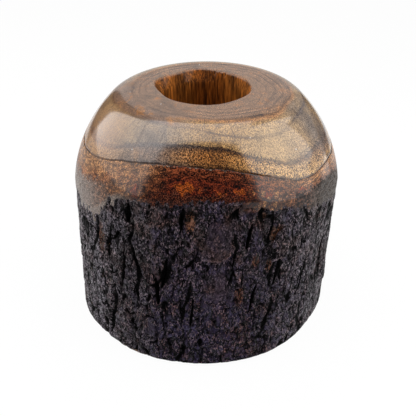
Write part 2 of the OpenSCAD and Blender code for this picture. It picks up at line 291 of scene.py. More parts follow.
class Log:
    """The turned log in millimetres: its outline, its layers and the shape that the lathe leaves."""

    def __init__(self, sizes):
        for name in LogSizes.__annotations__:
            setattr(self, name, getattr(sizes, name))
        for name in set(LogSizes.__annotations__) - {"lean", "thin_loss", "furrows"}:
            setattr(self, name, getattr(self, name) * MM)
        self.dome = self.log_width / 2
        self.shoulder = self.log_height - math.sqrt(self.dome ** 2 - (self.top_width / 2) ** 2)
        self.edge_z = self.log_height - self.top_edge
        self.edge_r = math.sqrt((self.dome - self.top_edge) ** 2 - (self.edge_z - self.shoulder) ** 2)
        join = self.dome / (self.dome - self.top_edge)
        self.join_r, self.join_z = self.edge_r * join, self.shoulder + (self.edge_z - self.shoulder) * join

    def over_ridges(self, a):
        """Radius over the ridges: a mean circle, a cosine of twice the bearing, less the flat patch."""
        return ((self.log_width + self.log_depth) / 4
                + (self.log_width - self.log_depth) / 4 * np.cos(np.radians(2 * a))
                - self.flat_patch * bump(a, -28, 18))

    def bark_share(self, a):
        """Share of the full bark thickness at a bearing."""
        thin = np.max([loss * bump(a, at, wide) for at, wide, loss in THIN_SIDES], axis=0)
        return 1 - self.thin_loss * thin

    def under_outer(self, a):
        """Radius of the drawing's wall between the two layers of bark."""
        return self.over_ridges(a) - self.outer_bark * self.bark_share(a)

    def wood_edge(self, a):
        """Radius of the drawing's edge of the wood."""
        return self.under_outer(a) - self.inner_bark * self.bark_share(a)

    def cambium(self, a):
        """Where the wood meets the inner bark: the drawing's edge, a little uneven around the log."""
        return self.wood_edge(a) + self.bark_share(a) * 0.4 * cloudy(on_drum(a, 8, 0), 5, 3)

    def bark_wall(self, a):
        """Where the inner bark meets the outer bark: the drawing's wall, a little uneven around the log."""
        return self.under_outer(a) + self.bark_share(a) * 0.3 * cloudy(on_drum(a, 7, 0), 3, 3)

    def outwards(self, a, r):
        """How far through both layers of bark a point lies: 0 at the wood and 1 at the ridges."""
        edge = self.wood_edge(a)
        return np.clip((r - edge) / (self.over_ridges(a) - edge), 0, 1.2)

    def at(self, a, r, z):
        """A point of the leaning log at bearing a, distance r from the pith and height z."""
        a = np.radians(a)
        lean = (z - self.shoulder) * math.tan(self.lean)
        return np.stack(np.broadcast_arrays(r * np.cos(a) / math.cos(self.lean) + lean, r * np.sin(a), z), -1)

    def back_to_log(self, p):
        """The bearing and the distance from the pith of a point: the reverse of at()."""
        x = (p[..., 0] - (p[..., 2] - self.shoulder) * math.tan(self.lean)) * math.cos(self.lean)
        return np.degrees(np.arctan2(p[..., 1], x)), np.hypot(x, p[..., 1])

    def turned_r(self, z):
        """Radius that the turning leaves at height z: the dome, then the sanded edge."""
        dome = np.sqrt(np.maximum(0, self.dome ** 2 - (z - self.shoulder) ** 2))
        edge = self.edge_r + np.sqrt(np.maximum(0, self.top_edge ** 2 - (z - self.edge_z) ** 2))
        return np.where(z <= self.shoulder, self.log_width, np.where(z <= self.join_z, dome, edge))

    def turned_z(self, r):
        """Height of the turned surface at distance r from the turning axis."""
        dome = self.shoulder + np.sqrt(np.maximum(0, self.dome ** 2 - r ** 2))
        edge = self.edge_z + np.sqrt(np.maximum(0, self.top_edge ** 2 - (r - self.edge_r) ** 2))
        return np.where(r >= self.join_r, dome, np.where(r >= self.edge_r, edge, self.log_height))

    def top_of(self, a, r):
        """Height at which a layer of radius r comes out through the turned top, by repeated steps."""
        z = np.full(np.shape(a), self.shoulder)
        for _ in range(8):
            z = self.turned_z(np.hypot(*np.moveaxis(self.at(a, r, z)[..., :2], -1, 0)))
        return z

    def furrow(self, a, z):
        """Depth of the furrows from 0 to 1. Each one is a bump around a bearing that wanders up the
        log in two sine waves, and it fades in and out with a third."""
        deepest, wide = np.zeros(a.shape), math.degrees(self.furrow_width / self.dome)
        for k in range(self.furrows):
            middle = (360 / self.furrows * (k + 0.3 * math.sin(math.radians(137 * k)))
                      + 3.2 * np.sin(np.radians(4.1 * z + 97 * k))
                      + 1.3 * np.sin(np.radians(11 * z + 53 * k)))
            share = 0.62 + 0.38 * np.sin(np.radians(5.3 * z + 211 * k))
            deepest = np.maximum(deepest, share * bump(a, middle, wide))
        return deepest

    def scale_seat(self, a):
        """Distance from the pith of a loose scale's underside where it is still held."""
        return self.over_ridges(a) + 0.5 * self.bark_share(a) + self.scale_gap - 0.8

    def scale_span(self, scale):
        """The middle and the length of a loose scale, up the log."""
        _, at, _, low, high, _ = scale
        top = self.turned_z(self.over_ridges(at) + 0.5 * self.bark_share(at) + self.scale_gap
                            + self.scale_curl + self.scale_thickness)
        return (low + high) / 2 * top, (high - low) * top

    def bedded(self, a, z):
        """1 under a loose scale and 0 away from it: exp(-across^8 - along^8) for each, at its own lean."""
        most = np.zeros(a.shape)
        for scale in SCALES:
            _, at, width, _, _, lean = scale
            middle, long = self.scale_span(scale)
            v = (z - middle) / (long / 2)
            across = turn(a, at) * math.pi / 180 * self.over_ridges(at)
            across = (across - lean * (np.clip(v, -1, 1) + 1) / 2) / (width / 2 + 0.3)
            most = np.maximum(most, np.exp(-across ** 8 - (v * long / (long + 0.6)) ** 8))
        return most


def slot_depth(log, a, z):
    """Depth of the open slots: each is deepest along a line and falls away as exp(-(d / width)^2.5)."""
    deepest = np.zeros(a.shape)
    for a0, z0, a1, z1, width, deep in SLOTS:
        x = turn(a, a0) * math.pi / 180 * log.dome
        dx, dz = math.radians(a1 - a0) * log.dome, z1 - z0
        t = np.clip((x * dx + (z - z0) * dz) / (dx * dx + dz * dz), 0, 1)
        d = np.hypot(x - t * dx, z - z0 - t * dz)
        w = width * (0.45 + 0.55 * np.sin(np.pi * np.clip(t, 0.06, 0.94)))
        deepest = np.maximum(deepest, deep * np.exp(-(d / w) ** 2.5))
    return deepest


def bark_grain(log, a, z):
    """The bark's own small relief in millimetres: creases and crests that run up the log, long
    plates that stand at different heights with a broken crack around each, and small flakes on
    them. Returns the relief, and the number of the long plate."""
    ring, girth = on_drum(a, log.dome, z), 2 * math.pi * log.dome
    aside, along = cloudy(ring * (0.2, 0.2, 0.1), 11, 3), cloudy(ring * (0.2, 0.2, 0.12), 17, 3)
    x = a / 360 + aside * 3.4 / girth
    y = z + along * 5
    edge, own, rise = plates(x * 76, y / 12, 76, 21)
    broken = ease(cloudy(ring * (0.25, 0.25, 0.12), 71, 2), -0.35, 0.3)
    relief = -1.5 * broken * (1 - ease(edge, 0.0, 0.25)) + 0.6 * (own - 0.5) - 0.2 * rise
    fine = a / 360 + (along * 1.3 + cloudy(ring * 0.7, 23, 2) * 0.9) / girth
    edge2, own2, rise2 = plates(fine * 190, (y + cloudy(ring * 0.6, 29, 2) * 1.4) / 4.2, 190, 31)
    relief = relief - 0.25 * (1 - ease(edge2, 0.0, 0.35)) + 0.3 * (own2 - 0.5) - 0.1 * rise2
    return relief + 1.5 * (folded(ring * (0.26, 0.26, 0.1), 43, 2) - 0.6), own


# ---------------------------------------------------------------- meshes

def write_mesh(name, points, faces, numbers, corners, finish, slot, nodes):
    """Puts points in millimetres and faces into a smooth mesh at the origin, with one number per
    point for each named attribute and a crisp edge along the rings of points that are corners,
    and seats the piece in the frame."""
    mesh = bpy.data.meshes.new(name)
    loops = np.concatenate([f.ravel() for f in faces]).astype(np.int32)
    counts = np.concatenate([np.full(len(f), f.shape[1]) for f in faces]).astype(np.int32)
    starts = np.concatenate([[0], np.cumsum(counts)[:-1]]).astype(np.int32)
    mesh.vertices.add(len(points))
    mesh.vertices.foreach_set("co", (np.asarray(points) / MM).astype(np.float32).ravel())
    mesh.loops.add(len(loops))
    mesh.loops.foreach_set("vertex_index", loops)
    mesh.polygons.add(len(counts))
    mesh.polygons.foreach_set("loop_start", starts)
    mesh.update(calc_edges=True)
    mesh.validate()
    mesh.shade_smooth()
    ends = np.zeros(len(mesh.edges) * 2, np.int32)
    mesh.edges.foreach_get("vertices", ends)
    crisp = np.zeros(len(mesh.edges), bool)
    for first, count in corners:
        crisp |= ((ends >= first) & (ends < first + count)).reshape(-1, 2).all(1)
    mesh.attributes.new("sharp_edge", "BOOLEAN", "EDGE").data.foreach_set("value", crisp)
    for key, values in numbers.items():
        values = np.asarray(values, np.float32).ravel()
        mesh.attributes.new(key, "FLOAT", "POINT").data.foreach_set("value", values)
    piece = bpy.data.objects.new(name, mesh)
    bpy.context.scene.collection.objects.link(piece)
    mesh.materials.append(finish)
    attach(piece, "root")
    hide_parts(*nodes)


def ring_faces(rows, columns, closed):
    """Four-sided faces between neighbouring rings of points, facing outwards when the rings run
    anticlockwise and are stacked upwards. A closed skin joins the last ring to the first."""
    j = np.arange(rows if closed else rows - 1)[:, None]
    i = np.arange(columns)[None, :]
    k, low, high = (i + 1) % columns, j * columns, (j + 1) % rows * columns
    return np.stack(np.broadcast_arrays(low + i, low + k, high + k, high + i), -1).reshape(-1, 4)


def pole_faces(rows, columns, first, last):
    """Triangles from a pole to the first ring, and from the last ring to a pole."""
    i = np.arange(columns)
    k, end = (i + 1) % columns, (rows - 1) * columns
    return np.concatenate([np.stack([np.full(columns, first), k, i], -1),
                           np.stack([end + i, end + k, np.full(columns, last)], -1)])


# The lip's outline: each wave's share of the mean flare, how often it repeats around the mouth,
# and its turn in degrees.
LIP_LOBES = [(0.42, 2, 87), (0.36, 4, 20), (0.26, 5, -103), (0.24, 6, 120)]
# Nicks in the lip: bearing, half width in degrees and how far out they reach.
LIP_NICKS = [(74, 1.3, 0.55), (59, 1.5, 0.75), (66, 1.0, 0.3)]
# How far down the wall the nicks run, and how far the mouth's rounded edge reaches beyond the
# flare, in millimetres.
NICK_DEPTH, LIP_ROUND = 2.2, 0.9
# How far down the socket's wall its rings lie, out of the last number. From the corner's depth on
# they turn in towards the floor.
WALL_DEPTHS = (2, 3, 4, 5, 6, 8, 10, 12, 14, 16, 18, 20, 22, 23.4, 23.8, 24)
CORNER_DEPTH = 23.4
# Air between two layers in millimetres, so that their faces never coincide.
AIR = 0.03


def growth(bearing, x):
    """The growth ring at share x of the way in from the wood's edge. It runs in straight lines from
    0 at the edge through 0.1 at the dark ring, 0.21 at the fine one and 0.36 at the heartwood's
    edge to 1 at the pith."""
    dark, fine, heart = (around(bearing, RINGS[k]) for k in ("dark", "fine", "heart"))
    inner = np.where(x < heart, 0.21 + (x - fine) / (heart - fine) * 0.15,
                     0.36 + (x - heart) / (1 - heart) * 0.64)
    return np.where(x < dark, x / dark * 0.1,
                    np.where(x < fine, 0.1 + (x - dark) / (fine - dark) * 0.11, inner))


def wood_surface(log, columns=384):
    """The wood as rings around it: out along the base, up the straight side, over the dome and the
    flat top, round the lip, down the socket's wall and in along its floor to the drill's point.
    Over the top a point moves in plan from the wood's edge to the socket's mouth, and its height
    is the turned height at its distance from the axis."""
    a = np.arange(columns) * 360 / columns
    edge = log.cambium(a)
    top = log.top_of(a, edge)
    rings = [log.at(a, edge * share, 0 * a) for share in (0.25, 0.5, 0.75, 0.92, 0.985)]
    rings += [log.at(a, edge - (0.0 if n else 0.25), (top - 0.5) * share + 0.25 * (n == 0))
              for n, share in enumerate((0.0, 0.004, 0.2, 0.4, 0.6, 0.8, 0.95, 1.0))]
    top_corner = len(rings) * columns
    side = np.radians(a)
    out = np.stack([np.cos(side), np.sin(side)], -1)
    centre = np.array(SOCKET_AT[:2])

    def around_socket(r, z):
        """Adds a ring at distance r from the socket's middle and height z."""
        height = np.broadcast_to(z, columns)[:, None]
        rings.append(np.concatenate([centre + np.reshape(r, (-1, 1)) * out, height], -1))

    lobes = 1 + sum(share * np.cos(n * side + at * math.pi / 180) for share, n, at in LIP_LOBES)
    flare = log.lip_flare * lobes + 0.12 * cloudy(on_drum(a, 5, 0 * a), 7, 2)
    nick = sum(deep * bump(a, at, wide) for at, wide, deep in LIP_NICKS)
    lip = log.socket_radius + flare + LIP_ROUND + nick
    start, mouth = log.at(a, edge, top)[:, :2], centre + lip[:, None] * out
    for s in np.linspace(0, 1, 118) ** 0.9:
        plan = start + (mouth - start) * (0.006 + 0.994 * s)
        z = log.turned_z(np.hypot(plan[:, 0], plan[:, 1]))
        rings.append(np.concatenate([plan, z[:, None]], -1))
    over = len(rings)
    for t in (0.25, 0.5, 0.75, 1.0):
        inward = LIP_ROUND * (1 - (1 - t) ** 2) + flare * t * t / log.lip_depth
        around_socket(lip - inward, log.log_height - t * t - 0.9 * nick * t)
    for depth in WALL_DEPTHS:
        flared, nicked = (max(0, 1 - depth / deep) for deep in (log.lip_depth, NICK_DEPTH))
        turned_in = max(0, depth - CORNER_DEPTH) ** 2 * 1.2
        around_socket(log.socket_radius + flare * flared + nick * nicked - turned_in,
                      log.log_height - depth / WALL_DEPTHS[-1] * log.socket_depth)
    floor = log.log_height - log.socket_depth
    for share in (0.9, 0.7, 0.5, 0.3, 0.12):
        around_socket(log.socket_radius * share, floor)
    for share in (1.0, 0.75, 0.5, 0.13):
        around_socket(log.point_width / 2 * share, floor - log.point_depth * (1 - share))
    rings = np.array(rings)
    first, last = log.at(0, 0, np.float64(0)), np.array([*centre, floor - log.point_depth])
    points = np.concatenate([rings.reshape(-1, 3), first[None], last[None]])
    faces = [ring_faces(len(rings), columns, False),
             pole_faces(len(rings), columns, len(points) - 2, len(points) - 1)]
    inside = np.zeros(len(points))
    inside[over * columns:-2] = 1
    inside[over * columns:(over + 4) * columns] = np.repeat((0.1, 0.4, 0.75, 1.0), columns)
    inside[-1] = 1
    bearing, r = log.back_to_log(points)
    t = growth(bearing, 1 - r / log.cambium(bearing))
    left = ease(turn_between(bearing, -150), 62, 30)
    numbers = {
        "ring": t, "socket": inside, "left": left, "front": bump(bearing, -93, 24),
        "heart": np.maximum(ease(t, 0.353, 0.367), left * ease(t, 0.205, 0.222)),
        "warm": ease(turn_between(bearing, 180), 50, 32),
        "cream": (bump(bearing, -55, 16) * (0.6 + 0.4 * ease(t, 0.09, 0.13))
                  * ease(t, 0.0, 0.03) * ease(t, 0.3, 0.22)),
        # grey: a painted grey haze of reflected light on the outer rings at the left, and a grey patch at the
        # right.
        "grey": np.maximum(0.75 * bump(bearing, -118, 20) * ease(t, 0.26, 0.18),
                           0.9 * bump(bearing, -20, 15) * ease(t, 0.0, 0.06) * ease(t, 0.34, 0.28))}
    return points, faces, numbers, [(top_corner, columns)]


# Orange and red patches on the turned bark: bearing, how far through the bark, half width in
# degrees, half height as a share of the bark, and strength.
EMBERS = [
    (-99.5, 0.7, 4.2, 0.15, 1.15), (-108, 0.86, 4.5, 0.16, 0.5), (-92, 0.74, 1.8, 0.16, 0.6),
    (-84.6, 0.78, 2.6, 0.13, 0.85), (-77.6, 0.68, 2.0, 0.16, 0.85), (-48, 0.6, 1.6, 0.14, 0.7),
    (-121, 0.82, 3, 0.16, 0.45), (-66, 0.8, 3.5, 0.15, 0.45), (-106, 0.8, 6, 0.2, 0.3),
    (-80, 0.7, 9, 0.25, 0.3),
]


def ember_patches(log, bearing, r):
    """Where the turned bark shows orange: the highest of a few bumps, exp(-across^2 - along^2),
    whose place is pushed about by a cloud."""
    out = log.outwards(bearing, r)
    ring = on_drum(bearing, r, 8 * out)
    at, deep = bearing + 3.5 * cloudy(ring * 0.35, 81, 3), out + 0.22 * cloudy(ring * 0.4, 87, 3)
    return np.max([high * np.exp(-(turn_between(at, b) / wide) ** 2 - ((deep - o) / tall) ** 2)
                   for b, o, wide, tall, high in EMBERS], axis=0)


def turned_marks(log, bearing, r):
    """What the turned bark's finish reads at a point: how far out it lies, its torn patches, and
    how near it is to the front, to the charred edge and to the lumps at that edge's ends."""
    return {"out": log.outwards(bearing, r), "ember": ember_patches(log, bearing, r),
            "front": np.maximum(bump(bearing, -83, 40), ease(turn_between(bearing, -92), 38, 12)),
            "char": ease(turn_between(bearing, -96), 24, 15),
            "lump": np.maximum(bump(bearing, -64, 8), 0.8 * bump(bearing, -127, 8))}


def inner_bark_surface(log, columns=720):
    """The inner bark as a closed ring: up its outer wall, in over the turned dome, and down its
    inner wall along the wood."""
    a = np.arange(columns) * 360 / columns
    wall, edge = log.bark_wall(a), log.cambium(a) + AIR
    top = log.top_of(a, wall)
    rows = [log.at(a, wall, (top - 0.02) * s) for s in (0, 0.15, 0.3, 0.45, 0.6, 0.75, 0.88, 0.95, 1.0)]
    top_corner = len(rows) * columns
    for s in np.linspace(0, 1, 20):
        r = wall + (edge - wall) * 0.98 * s
        p = log.at(a, r, log.top_of(a, r))
        p[:, 2] -= 0.07 * (1 - np.abs(2 * s - 1)) * cloudy(p * 0.6, 53, 2) + 0.12 * (s == 1)
        rows.append(p)
    inner_top = log.top_of(a, edge) - 0.7
    rows += [log.at(a, edge, inner_top * s) for s in (1.0, 0.7, 0.4, 0.15, 0.0)]
    points = np.array(rows)
    marks = turned_marks(log, *log.back_to_log(points))
    return points.reshape(-1, 3), [ring_faces(len(rows), columns, True)], marks, [(top_corner, columns)]


# Rusty stains on the rough bark: bearing, height, half width in degrees and half height.
RUST = [(-62.4, 53.8, 2.2, 5), (-69, 57.9, 2.6, 5), (-66.6, 80.3, 2, 2), (-88, 66, 5, 7), (-60, 70, 5, 6),
        (-97, 80, 3, 8), (-140, 60, 3, 12), (-70, 85, 8, 3), (-75, 40, 3, 8)]


def outer_bark_surface(log, columns=700, rows=133):
    """The outer bark as a closed ring: out along the base, up the rough outside, and down its
    straight inner wall. Outside, the distance from the pith is the ridge's, less furrows, slots
    and the bark's grain. The turning then cuts it back to the dome, rounded where they meet."""
    a = np.broadcast_to(np.arange(columns) * 360 / columns, (rows, columns))
    wall = log.bark_wall(a[0])
    top = log.top_of(a[0], wall)
    share = np.append(np.linspace(0, 0.9992, rows - 1), 1.0)
    z = share[:, None] * top
    thick, bed = log.bark_share(a), log.bedded(a, z)
    grain, own = bark_grain(log, a, z)
    smooth, front = bump(a, -84, 5) * np.exp(-((z - 45) / 8) ** 2), bump(a, -86, 24)
    jag = cloudy(np.stack([a * 0.35, z * 0.3, 0 * z], -1), 61, 2) * 1.1 * ease(turn_between(a, 0), 3, 8)
    furrows = log.furrow(a + jag, z)

    torn = cloudy(on_drum(a, 0.4 * log.dome, 0.1 * z), 47, 3)
    uneven = 4.0 * cloudy(on_drum(a, 0.5 * log.dome, 0.3 * z), 41, 4)
    sanded_to = around(a, SANDED)
    rough_from = np.minimum(log.turned_z(log.over_ridges(a) - (1.0 + 3.6 * torn) * front),
                            sanded_to + uneven + 10.0 * bump(a, -148, 16) * torn)
    soft = 1 + 2.5 * bump(a, -148, 24) + 2.5 * bump(a, -35, 22) + 0.9 * bump(a, -95, 22)
    begun = ease((rough_from - z) / soft, -0.6, 1.6)
    slots = slot_depth(log, a, z)
    worn = log.base_edge * (1 + 1.7 * bump(a, -144, 14) + 0.6 * bump(a, -40, 20))
    edge = np.where(z < worn, worn - np.sqrt(np.maximum(0, worn ** 2 - (worn - z) ** 2)), 0)
    edge = edge * (0.55 + 0.45 * log.base_edge / worn)

    ridge = log.under_outer(a) + thick * log.outer_bark - 0.1 - 0.25 * bump(a, 180, 40)
    calm = 1 - 0.6 * np.maximum(bump(a, -167, 20), bump(a, -10, 20))
    cut = log.furrow_depth * furrows * (0.62 - 0.4 * front)
    carved = ((1 - 0.75 * smooth) * (1 - 0.35 * front) * (grain - 0.25) - cut) * begun - slots
    rough = carved * np.maximum(thick, 0.6) * calm * (0.15 + 0.85 * ease(z, 0.0, 6.0)) - edge
    bedding = 0.5 * thick - 1.15 + 0.25 * grain - edge
    least = wall + 0.3 + 0.12 * grain
    p = log.at(a, -softer(-(ridge + rough * (1 - bed) + bedding * bed), -least, 0.3), z)
    reach, limit = np.hypot(p[..., 0], p[..., 1]), log.turned_r(z)
    cut_back = np.where(z > log.shoulder, softer(reach, limit, 0.12), reach)
    p[..., :2] *= (cut_back / reach)[..., None]

    turned = np.maximum(np.where(z > log.shoulder, ease(reach - limit, -0.1, 0.3), 0),
                        ease((rough_from - z) / soft, 0.5, -0.5))
    turned = np.maximum(turned, ease(z, 2.4, 1.2) * bump(a, -122, 11))
    bearing, r_end = log.back_to_log(p)
    foot = [log.at(a[0], wall + AIR + (r_end[0] - wall) * s, 0 * wall) for s in (0, 0.55)]
    inner = [log.at(a[0], wall + AIR, (top - 0.1) * s) for s in (1.0, 0.66, 0.33)]
    points = np.concatenate([np.array(foot), p, np.array(inner)])
    marks = (grain - 0.25) * (1 - 0.35 * front) * begun - slots - 2.6 * furrows ** 5 * begun
    rust = np.max([bump(a, b, w) * np.exp(-((z - h) / tall) ** 2) for b, h, w, tall in RUST], axis=0)
    # relief: 0 deep in a slot or furrow and 1 on a ridge, less a painted shadow around and under each loose
    # scale. The finish paints shade into the low places from it.
    numbers = {"relief": np.clip(1 + (marks * (1 - bed) - bed * 0.3 - 1.0 * bed * (1 - bed)) / 2.6, 0, 1),
               "turned": turned, "plate": own, "rust": rust, "smooth": smooth, "lip": 0 * a,
               "left": ease(turn_between(bearing, -160), 42, 22),
               "tan": bump(a, -128, 15) * ease(z - sanded_to, 0.2, 2.8), **turned_marks(log, bearing, r_end)}
    ends = ((len(foot), len(inner)), (0, 0))
    numbers = {name: np.pad(values, ends) for name, values in numbers.items()}
    faces = [ring_faces(len(points), columns, True)]
    return points.reshape(-1, 3), faces, numbers, [((rows + 1) * columns, columns)]


# Thickness of a loose scale along its rim, in millimetres.
SCALE_RIM = 0.35


def scale_surface(log, scale, columns=112, rows=26):
    """A loose scale as rings around its outline: from its middle out over the top, round its rim
    and back underneath to its middle. The outline is a squared-off oval with a ragged rim. It lies
    along the log, its foot curls away, and it is thinnest along its rim."""
    name, at, width, _, _, lean = scale
    level = name == "front_scale"
    seed = 100 + abs(at)
    middle, long = log.scale_span(scale)
    angle = np.arange(columns) * 2 * math.pi / columns
    square = (np.abs(np.cos(angle)) ** 3.2 + np.abs(np.sin(angle)) ** 3.2) ** (-1 / 3.2)
    ring = np.stack([3 * np.cos(angle), 3 * np.sin(angle), 0 * angle], -1)
    ragged = square * (0.96 + 0.16 * cloudy(ring * 0.6, seed, 3) + 0.05 * cloudy(ring * 3, seed + 5, 2))
    upper = np.concatenate([np.linspace(0, 0.94, rows - 3)[1:], [0.975, 0.995]])
    lower = np.array([0.995, 0.95, 0.8, 0.6, 0.4, 0.2, 0.06])
    shares, outside = np.concatenate([upper, lower]), np.append(np.ones(len(upper)), np.zeros(len(lower)))
    u = np.append((shares[:, None] * ragged * np.cos(angle)).ravel(), [0.0, 0.0])
    v = np.append((shares[:, None] * ragged * np.sin(angle)).ravel(), [0.0, 0.0])
    s = np.append(np.repeat(shares, columns), [0.0, 0.0])
    side = np.append(np.repeat(outside, columns), [1.0, 0.0])
    z = middle + long / 2 * v
    a = at + np.degrees((u * width / 2 * (1 - 0.12 * v) + lean * (v + 1) / 2) / log.over_ridges(at))
    grain, own = bark_grain(log, a, z)
    thick = SCALE_RIM + ((log.scale_thickness - SCALE_RIM) * np.clip(1 - u ** 2, 0, 1)
                         * np.clip((1 - v) * (3 + v) / 4, 0, 1))
    lift = log.scale_curl * np.clip(1 - v, 0, 2) ** 2 / 4
    rounding = ease(s, 1.0, 0.86)
    relief = 0.55 * grain * rounding * (0.5 if level else 1)
    points = log.at(a, log.scale_seat(a) + lift + side * (thick * (0.35 + 0.65 * rounding) + relief), z)
    count = len(shares) * columns
    faces = [ring_faces(len(shares), columns, False), pole_faces(len(shares), columns, count, count + 1)]
    nothing = dict.fromkeys(("turned", "ember", "left", "tan", "char", "lump"), 0 * s)
    # relief: the grain on a scale's top and 0 on its underside, which the finish paints dark as shade.
    numbers = {"relief": np.clip(0.8 + (0.1 if level else 0.2) * grain, 0, 1) * side, "plate": own,
               "rust": 0.5 * bump(a, at, 6) * (at in (-58, -86)), "out": 0 * s + 1,
               "front": bump(a, -86, 40), "smooth": 0 * s + level * 0.6,
               # lip: where the finish paints a pale highlight along the lower rim of the scale's top.
               "lip": ease(s, 0.8, 0.93) * side * ease(-v, 0.35, 0.75) * (0.5 + 0.5 * (at < -80)), **nothing}
    return points, faces, numbers, []


# ---------------------------------------------------------------- finishes

WHITE = (1.0, 1.0, 1.0)


class Wire:
    """A number that flows through a finish. Arithmetic on wires adds Math nodes to its tree."""

    def __init__(self, finish, socket):
        self.finish, self.socket = finish, socket

    def __add__(self, other):
        return self.finish.math("ADD", self, other)

    def __mul__(self, other):
        return self.finish.math("MULTIPLY", self, other)

    def __sub__(self, other):
        return self.finish.math("SUBTRACT", self, other)

    def __rsub__(self, other):
        return self.finish.math("SUBTRACT", other, self)

    __radd__, __rmul__ = __add__, __mul__


class Finish:
    """A node tree that a finish is written into."""

    def __init__(self, tree):
        self.tree = tree
        tree.nodes.clear()

    def node(self, kind, settings=None, inputs=None, out=0):
        """Any node: its type, its settings, and the values or wires of its sockets."""
        node = self.tree.nodes.new("ShaderNode" + kind)
        for key, value in (settings or {}).items():
            if key == "stops":
                ramp = node.color_ramp.elements
                while len(ramp) < len(value):
                    ramp.new(0.5)
                for element, (place, rgb) in zip(ramp, value):
                    element.position, element.color = place, (*rgb, 1)
            else:
                setattr(node, key, value)
        for key, value in (inputs or {}).items():
            if isinstance(value, Wire):
                self.tree.links.new(value.socket, node.inputs[key])
            else:
                node.inputs[key].default_value = value
        return Wire(self, node.outputs[out]) if node.outputs else node

    def math(self, operation, *numbers):
        """Math on one, two or three numbers or wires."""
        return self.node("Math", {"operation": operation}, dict(enumerate(numbers)))

    def vector(self, operation, *vectors, **named):
        """Vector Math on one or two vectors."""
        return self.node("VectorMath", {"operation": operation}, {**dict(enumerate(vectors)), **named})

    def number(self, name):
        """One of the piece's own attributes."""
        return self.node("Attribute", {"attribute_name": name}, out="Fac")

    def place(self, *stretch):
        """Object coordinates in millimetres, stretched along each axis."""
        here = self.node("TexCoord", out="Object")
        return self.vector("MULTIPLY", here, [MM * s for s in stretch or (1, 1, 1)])

    def radial(self, around, along):
        """A place on a circle of the given radius around the turning axis, moved by the given share
        of the true place, so that a pattern is drawn out along the spokes."""
        here = self.place()
        spoke = self.vector("NORMALIZE", self.vector("MULTIPLY", here, (1, 1, 0)))
        near = self.vector("SCALE", here, Scale=along)
        return self.vector("ADD", self.vector("SCALE", spoke, Scale=around), near)

    def noise(self, place, scale, detail=2.0, rough=0.5, bend=0.0):
        """A cloud from 0 to 1 with its middle at 0.5."""
        return self.node("TexNoise", {}, {"Vector": place, "Scale": scale, "Detail": detail,
                                          "Roughness": rough, "Distortion": bend}, out="Fac")

    def cells(self, place, scale, feature="F1"):
        """A net of irregular cells: distance to the nearest middle, or to the nearest border."""
        return self.node("TexVoronoi", {"feature": feature}, {"Vector": place, "Scale": scale},
                         out="Distance")

    def stirred(self, place, scale, amount):
        """A place pushed to all sides by a cloud of the given scale."""
        push = self.node("TexNoise", {}, {"Vector": place, "Scale": scale, "Detail": 3.0}, out="Color")
        push = self.vector("SUBTRACT", push, (0.5, 0.5, 0.5))
        return self.vector("ADD", place, self.vector("SCALE", push, Scale=amount))

    def between(self, value, low, high):
        """0 below low, 1 above high, and a smooth step between them."""
        return self.node("MapRange", {"interpolation_type": "SMOOTHSTEP"},
                         {"Value": value, "From Min": low, "From Max": high})

    def band(self, value, rise, full, fall, end):
        """1 from full to fall, with a smooth step up from rise and a smooth step down to end."""
        return self.between(value, rise, full) * self.between(value, end, fall)

    def ramp(self, value, *stops):
        """A colour read off a row of stops, each a place, a colour and how bright that colour is."""
        stops = [(at, shade(rgb, *bright)) for at, rgb, *bright in stops]
        return self.node("ValToRGB", {"stops": stops}, {"Fac": value})

    def mix(self, share, a, b, blend="MIX"):
        """Colour a, and colour b by the given share."""
        a, b = (c if isinstance(c, Wire) else (*c, 1) for c in (a, b))
        return self.node("Mix", {"data_type": "RGBA", "blend_type": blend}, {0: share, 6: a, 7: b}, out=2)

    def times(self, a, b):
        """The product of two colours."""
        return self.mix(1.0, a, b, "MULTIPLY")

    def tinted(self, share, colour, tint):
        """A colour, and its product with a tint by the given share."""
        return self.mix(share, colour, self.times(colour, tint))

    def bumped(self, height, distance):
        """A normal tilted by the slope of a height, whose unit is the given distance in metres."""
        return self.node("Bump", {}, {"Height": height, "Distance": distance, "Strength": 1.0})

    def shown(self):
        """1 for a ray from the camera, off a gloss or through glass, and 0 for any other."""
        rays = self.node("LightPath", out="Is Camera Ray")
        for other in ("Is Glossy Ray", "Is Transmission Ray"):
            rays = self.math("MAXIMUM", rays, self.node("LightPath", out=other))
        return rays


def new_material(name):
    """A new material, and the node tree that its finish is written into."""
    material = bpy.data.materials.new(name)
    material.use_nodes = True
    return material, Finish(material.node_tree)


def lacquered(name, paint, coat_roughness, coat_ior, specular):
    """A material under a clear coat, whose paint function wires the shader's changing sockets."""
    material, finish = new_material(name)
    shader = finish.node("BsdfPrincipled", {}, {"Coat Roughness": coat_roughness, "Coat IOR": coat_ior,
                                                "Specular IOR Level": specular, **paint(finish)})
    finish.node("OutputMaterial", {}, {"Surface": shader})
    return material


def shade(rgb, factor=1.0):
    """A colour made brighter or darker by a factor."""
    return tuple(c * factor for c in rgb[:3])


